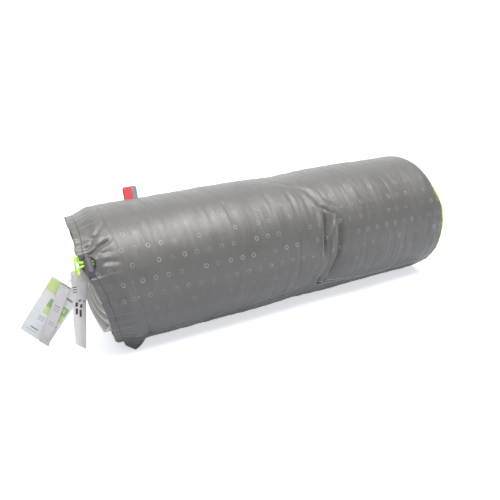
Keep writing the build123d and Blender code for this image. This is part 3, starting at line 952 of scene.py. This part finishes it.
def make_tab():
    """A ribbon folded over and sewn into the seam: red, with a grey selvedge strip along one side."""
    low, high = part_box("loop_label")
    tall, half_gap = 17.2 * mm, 0.45 * mm
    columns, rows = 20, 42
    s = np.linspace(-1, 1, rows)[:, None]
    u = np.linspace(0, 1, columns)[None, :]
    turn = np.clip(s / 0.14, -1, 1)
    corner = np.clip(np.abs(2 * u - 1) / 0.22 - 3.55, 0, 1) ** 2 * 2.2 * mm
    up = (tall - corner) * (1 - step(0.14, 1.0, np.abs(s))) + half_gap * np.cos(turn * pi / 2)
    across = half_gap * np.sin(turn * pi / 2) * (1 + 0.8 * step(0.1, 0.5, np.abs(s)) * (1 - np.abs(s)))
    across = across + 0.7 * mm * np.sin(u * pi * 1.3) * up / tall
    a = radians(seam_high)
    foot = sack_radius - 0.6 * mm
    y = -cos(a) * (foot + up) + sin(a) * across + 0 * u
    z = sack_height + sin(a) * (foot + up) + cos(a) * across + 0 * u
    x = low.x + 1.0 * mm + (high.x - low.x) * (u + 0 * s) + 0.8 * mm * up / tall
    faces = grid_faces(rows, columns)
    middle = np.repeat(((u[0, :-1] + u[0, 1:]) / 2)[None, :], rows - 1, axis=0).reshape(-1)
    paint = (middle > 0.64).astype(int)
    flat = np.stack([x, s * tall + 0 * u], -1)
    tab = make_sheet("seam_tab", np.stack([x, y, z], -1), faces[:, ::-1], 0.3 * mm, flat,
                     [red_ribbon, red_tab_grey], paint)
    place(tab, "sack", "red_ribbon", "loop_label")


make_tab()

# ---- the rolled mat -----------------------------------------------------------------------------

mat_thick = 10.2 * mm
mat_pitch = 10.5 * mm
mat_outer = 72.5 * mm
half_turns = 12
tail_angle = radians(115)   # where the mat's outer end lies, from +Y towards +Z


def rolled(s, height):
    """The Y and Z of a point of the roll: s counts half turns from its core, height is through the mat."""
    k = np.clip(np.floor(s), 0, half_turns - 1)
    odd = np.mod(half_turns - 1 - k, 2)
    radius = mat_outer - mat_pitch / 2 * (half_turns - 1 - k) - mat_thick + height
    turn = (s - k) * pi + np.where(odd == 0, pi, 0)
    right = np.where(odd == 0, 1, -1) * mat_pitch / 4 + radius * np.cos(turn)
    up = radius * np.sin(turn)
    y = right * cos(tail_angle) - up * sin(tail_angle)
    return y, hem_height + right * sin(tail_angle) + up * cos(tail_angle)


def spiral_steps(spacing):
    """Places along the spiral, in half turns, about evenly spaced, and the length to each."""
    fine = np.linspace(0, half_turns, 4000)
    y, z = rolled(fine, mat_thick / 2)
    length = np.concatenate([[0], np.cumsum(np.hypot(np.diff(y), np.diff(z)))])
    wanted = np.linspace(0, length[-1], int(length[-1] / spacing))
    return np.interp(wanted, length, fine), wanted


def plump(distance):
    """The mat's share of its full thickness at a distance from its welded edge."""
    rise = 13 * mm
    return np.sqrt(1 - (1 - np.clip(distance / rise, 0, 1)) ** 2)


def make_mat():
    s, length = spiral_steps(4.2 * mm)
    s, length = s[None, :], length[None, :]
    weld, edge_half, pale_end = 6 * mm, 0.7 * mm, 14 * mm
    t = np.concatenate([np.linspace(0, 0.05, 12), np.linspace(0.06, 0.94, 80), np.linspace(0.95, 1, 12)])
    start, end = mat_start + weld, mat_end - weld
    x = (start + (end - start) * t)[:, None]
    total = length[0, -1]
    tail = plump(np.minimum(length, total - length))
    full = plump(np.minimum(x - start, end - x)) * tail
    middle = mat_thick / 2 * tail + 1.2 * mm * (1 - tail)
    half = edge_half + (mat_thick / 2 - edge_half) * full
    rows, columns = len(t), s.shape[1]
    for side, name, material, slot, replaced in (
        (1, "mat_under_side", mat_under_cloth, "mat_bottom_cloth", "mat_bottom_skin"),
        (-1, "mat_upper_side", mat_upper_cloth, "mat_top_cloth", "mat_top_skin"),
    ):
        wrinkle = 0.55 * step(-0.2, 0.9, noise(x / 0.03, length / 0.045, 0.5, 30 + side))
        wrinkle = wrinkle + 0.25 * step(0, 1, noise(x / 0.009, length / 0.03, 0.5, 33 + side))
        height = middle + side * np.maximum(half - wrinkle * mm * full, 0.3 * mm)
        y, z = rolled(s + 0 * x, height)
        points = np.stack([x + 0 * s, y, z], -1)
        flat = np.stack([x + 0 * s, length + 0 * x], -1)
        faces = grid_faces(rows, columns)
        middles = np.repeat((x[:-1] + x[1:]) / 2, columns - 1, axis=1).reshape(-1)
        paint = ((middles < start + pale_end) | (middles > end - pale_end)).astype(int)
        cloths = [material, mat_edge_cloth]
        skin = make_sheet(name, points, faces[:, ::-side], 0.35 * mm, flat, cloths, paint)
        place(skin, "mat_roll", slot, replaced)
    for low, high, name, replaced in (
        (mat_start, start + 4 * mm, "mat_mouth_edge", "mat_weld_mouth_side"),
        (end - 4 * mm, mat_end, "mat_base_edge", "mat_weld_base_side"),
    ):
        x = np.linspace(low, high, 9)[:, None]
        flare = 0
        if low < 0:
            y, z = rolled(s, middle)
            at = np.degrees(np.arctan2(z - hem_height, -y))
            flare = 12 * mm * bell(at + 52, 34) * step(half_turns - 2.6, half_turns - 2.0, s)
        free_edge = low if low < 0 else high
        ripple = 0.9 * mm * noise(length / 0.022, 0.4, 0.4, 36) * step(8 * mm, 0, np.abs(x - free_edge))
        ridges = 0.18 * mm * np.cos(x * 2 * pi / (2.4 * mm))
        y, z = rolled(s + 0 * x, middle + 0.6 * mm + ripple + ridges)
        points = np.stack([x - flare * (high - x) / (high - low) + 0 * s, y, z], -1)
        flat = np.stack([x + 0 * s, length + 0 * x], -1)
        edge = make_sheet(name, points, grid_faces(9, columns)[:, ::-1], 1.2 * mm, flat, [mat_edge_cloth])
        place(edge, "mat_roll", "mat_weld", replaced)


def band_radius(theta):
    """How far out an elastic lies, pulled tight round the roll, at angles from +Y towards +Z."""
    s = np.linspace(half_turns - 2, half_turns, 900)
    y, z = rolled(s, mat_thick + 0 * s)
    z = z - hem_height
    toward = np.radians(np.arange(0, 360, 1.0))
    reach = (y[None, :] * np.cos(toward)[:, None] + z[None, :] * np.sin(toward)[:, None]).max(axis=1)
    facing = np.cos(theta[None, :] - toward[:, None])
    return np.where(facing > 0.2, reach[:, None] / np.maximum(facing, 0.2), 1).min(axis=0)


def make_band(name, low, high, replaced):
    count, rows = 300, 15
    theta = np.linspace(0, 2 * pi, count, endpoint=False)[None, :]
    across = np.linspace(0, 1, rows)[:, None]
    wave = 0.6 * mm * noise(np.degrees(theta) / 25, 0.4, 0.4, 40)
    x = low + (high - low) * across + wave * (1 - across * 0.3)
    ribs = 0.12 * mm * np.cos(across * 2 * pi * 6)
    radius = band_radius(theta[0])[None, :] + 0.85 * mm + ribs
    y, z = np.cos(theta) * radius, hem_height + np.sin(theta) * radius
    points = np.stack([x, y, z], -1)
    flat = np.stack([across * (high - low) + 0 * theta, theta * 75 * mm + 0 * across], -1)
    faces = grid_faces(rows, count, round_columns=True)[:, ::-1]
    band = make_sheet(name, points, faces, 0.7 * mm, flat, [black_elastic], wrap=2 * pi * 75 * mm)
    place(band, "mat_roll", "elastic", replaced)


make_mat()
for band in ("retaining_band_mouth", "retaining_band_base"):
    low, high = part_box(band)
    make_band("elastic_" + band.split("_")[-1], low.x, high.x, band)

# ---- care labels and the hang tag ---------------------------------------------------------------


def cells(count_u, count_v):
    """The middle of each cell of a grid, as shares from 0 to 1."""
    u = (np.arange(count_u - 1) + 0.5) / (count_u - 1)
    v = (np.arange(count_v - 1) + 0.5) / (count_v - 1)
    return np.meshgrid(u, v, indexing="ij")


def painted(u, v, blocks):
    """Which ink each cell has: the last block (ink, low u, high u, low v, high v) that holds it, or 0."""
    ink = np.zeros(u.shape, int)
    for number, low_u, high_u, low_v, high_v in blocks:
        ink[(u > low_u) & (u < high_u) & (v > low_v) & (v < high_v)] = number
    return ink


def make_long_label():
    """A ribbon from the mat's corner out over the rim, where it turns and hangs down."""
    low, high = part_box("care_label_long")
    wide, strip = 18 * mm, 17 * mm
    rows = int((high.z - low.z) / mm)
    columns = int((high.x - low.x) / mm)
    down = np.linspace(0, high.z - low.z, rows)[:, None]
    along = np.linspace(0, high.x - low.x, columns)[None, :]
    hang = step(12 * mm, 60 * mm, down)
    across = np.clip(along / wide, 0, 1) * 2 - 1
    twist = np.radians(np.interp(down, (17 * mm, 35 * mm, 63 * mm, 95 * mm), (0, 12, 20, 34)))
    shift = np.interp(down, (17 * mm, 35 * mm, 63 * mm, 80 * mm, 95 * mm), (0, 1 * mm, -1 * mm, -1 * mm, 0))
    curl = (2.0 * mm * np.sin(down / (17 * mm)) - 1.6 * mm * (1 - across**2)) * hang
    x = low.x + shift + along * np.cos(twist)
    y = (low.y + high.y) / 2 + curl + along * np.sin(twist)
    z = high.z - down - 7 * mm * across * step(45 * mm, 93 * mm, down)
    v, u = cells(rows, columns)
    used = (u * (high.x - low.x) < wide) | (v * (high.z - low.z) < strip)
    marks = [(1, 0.02, 0.10, v, v + 0.014) for v in (0.20, 0.235, 0.27)]
    dots = ((0.41, 0.055, 0.05), (0.48, 0.045, 0.075), (0.39, 0.12, 0.015))
    dots += ((0.45, 0.15, 0.045), (0.515, 0.14, 0.09), (0.42, 0.225, 0.015))
    marks += [(1, column, column + 0.05, row, row + tall) for row, column, tall in dots]
    paint = painted(u, v, marks)[used]
    faces = grid_faces(rows, columns, used=used)
    points = np.stack(np.broadcast_arrays(x, y, z), -1)
    flat = np.stack([along + 0 * down, down + 0 * along], -1)
    label = make_sheet("care_label_hanging", points, faces, 0.35 * mm, flat, [white_ribbon, mark_ink], paint)
    place(label, "mat_roll", "white_ribbon", "care_label_long")


swing_point = Vector((-318.6, -60.0, 115.0)) * mm
tag_along = Vector((-29, 96, -118)).normalized()
tag_normal = tag_along.cross(Vector((-25.1, 19.9, 22.4))).normalized()
tag_across = tag_normal.cross(tag_along)
tag_wide, tag_near, tag_far = 39 * mm, 19.5 * mm, 133 * mm


def tag_bow(s):
    """How far the tag and the label on it bow away from the straight."""
    return 2.2 * mm * np.sin(np.clip((s - tag_near) / (tag_far - tag_near), 0, 1) * pi)


def leaning(name, start, along, across, long, wide, lift, thickness, materials, blocks, soft):
    """A flat piece that leans from the tag's loop, bowed with the tag, and curled if it is soft."""
    rows, columns = int(long / mm) + 1, int(wide / mm) + 1
    s = np.linspace(0, long, rows)[:, None]
    w = np.linspace(-wide / 2, wide / 2, columns)[None, :]
    begin = start - swing_point
    from_loop = begin.dot(tag_along) + s * along.dot(tag_along)
    off = tag_bow(from_loop) + lift + soft * (0.9 * mm * np.sin(s / (14 * mm)) + 0.8 * mm * (w / wide) ** 2)
    points = np.array(start) + s[..., None] * np.array(along) + w[..., None] * np.array(across)
    points = points - (off + 0 * w)[..., None] * np.array(tag_normal)
    points[..., 2] = np.maximum(points[..., 2], 0.4 * mm)
    v, u = cells(rows, columns)
    paint = painted(u, v, blocks).reshape(-1)
    flat = np.stack([w + 0 * s, s + 0 * w], -1)
    faces = grid_faces(rows, columns)
    return make_sheet(name, points, faces, thickness, flat, materials, paint)


def make_tag():
    ink = [white_card, green_ink, light_green_ink, grey_ink, mark_ink]
    blocks = [(2, 0.62, 0.97, 0.02, 0.20), (3, 0.10, 0.30, 0.14, 0.18), (3, 0.40, 0.60, 0.17, 0.21)]
    blocks += [(1, 0.05, 0.70, 0.28, 0.42), (2, 0.05, 0.34, 0.42, 0.54), (1, 0.34, 0.50, 0.42, 0.54)]
    blocks += [(2, 0.50, 0.70, 0.42, 0.54), (2, 0.12, 0.30, 0.31, 0.37)]
    blocks += [(3, 0.08, 0.40, v, v + 0.014) for v in (0.62, 0.66)]
    blocks += [(3, 0.50, 0.72, v, v + 0.010) for v in (0.60, 0.63, 0.66)]
    blocks += [(2, 0.06, 0.16, 0.80, 0.85), (4, 0.50, 0.78, 0.84, 0.86), (3, 0.50, 0.85, 0.90, 0.91)]
    card = leaning("tag_card", swing_point + tag_along * tag_near, tag_along, tag_across, tag_far - tag_near,
                   tag_wide, -0.3 * mm, 0.5 * mm, ink, blocks, 0)
    place(card, "tag", "tag_card", "hang_tag")


def make_short_label():
    lean = radians(-8)
    along = tag_along * cos(lean) + tag_normal.cross(tag_along) * sin(lean)
    across = tag_normal.cross(along)
    long, wide, gap, above = 108 * mm, 13 * mm, 3 * mm, 4 * mm
    top = swing_point + tag_along * 24 * mm - along * above
    blocks = [(1, 0.25, 0.75, v, v + 0.012) for v in (0.30, 0.34, 0.38, 0.60, 0.64)]
    label = leaning("care_label_leaning", top, along, across, long, wide, gap, 0.3 * mm,
                    [white_ribbon, grey_ink], blocks, 1)
    place(label, "tag", "white_ribbon", "care_label_short")


make_long_label()
make_tag()
make_short_label()
